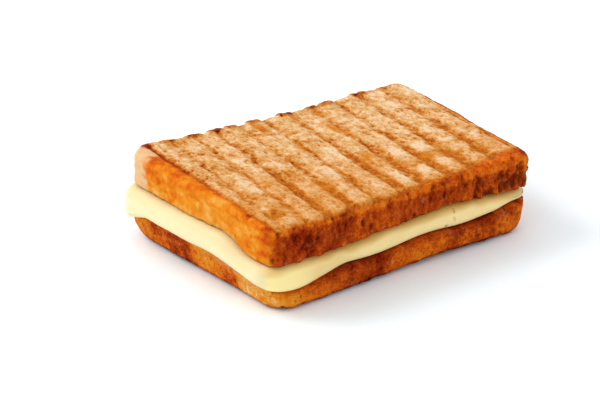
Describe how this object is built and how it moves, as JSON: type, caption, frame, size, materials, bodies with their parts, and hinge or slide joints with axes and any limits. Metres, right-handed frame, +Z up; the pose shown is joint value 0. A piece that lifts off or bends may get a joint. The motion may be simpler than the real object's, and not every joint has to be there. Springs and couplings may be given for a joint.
{
  "type": "grilled cheese sandwich",
  "caption": "Toasted sandwich of two ridge-marked bread slices with a thick melted cheese layer between them.",
  "frame": {"origin": "middle of the sandwich's box in plan, on the flat lands of the underside that it rests on", "axes": "+Z up from the underside to the toasted top; X along the slices' long side, with the end where the cheese has sagged out furthest at -X; Y along the short side, towards the back"},
  "size_m": [0.1326, 0.0894, 0.0361],
  "materials": {
    "bread_top": "toasted bread: pale crumb with brown grill marks on top, browned crust round the sides",
    "cheese": "melted cheese, smooth and slightly waxy",
    "bread_bottom": "toasted bread: browned crust round the sides, brown grill marks below"
  },
  "bodies": {
    "root": {"bread_top": "bread_top", "cheese": "cheese", "bread_bottom": "bread_bottom"}
  },
  "joints": []
}
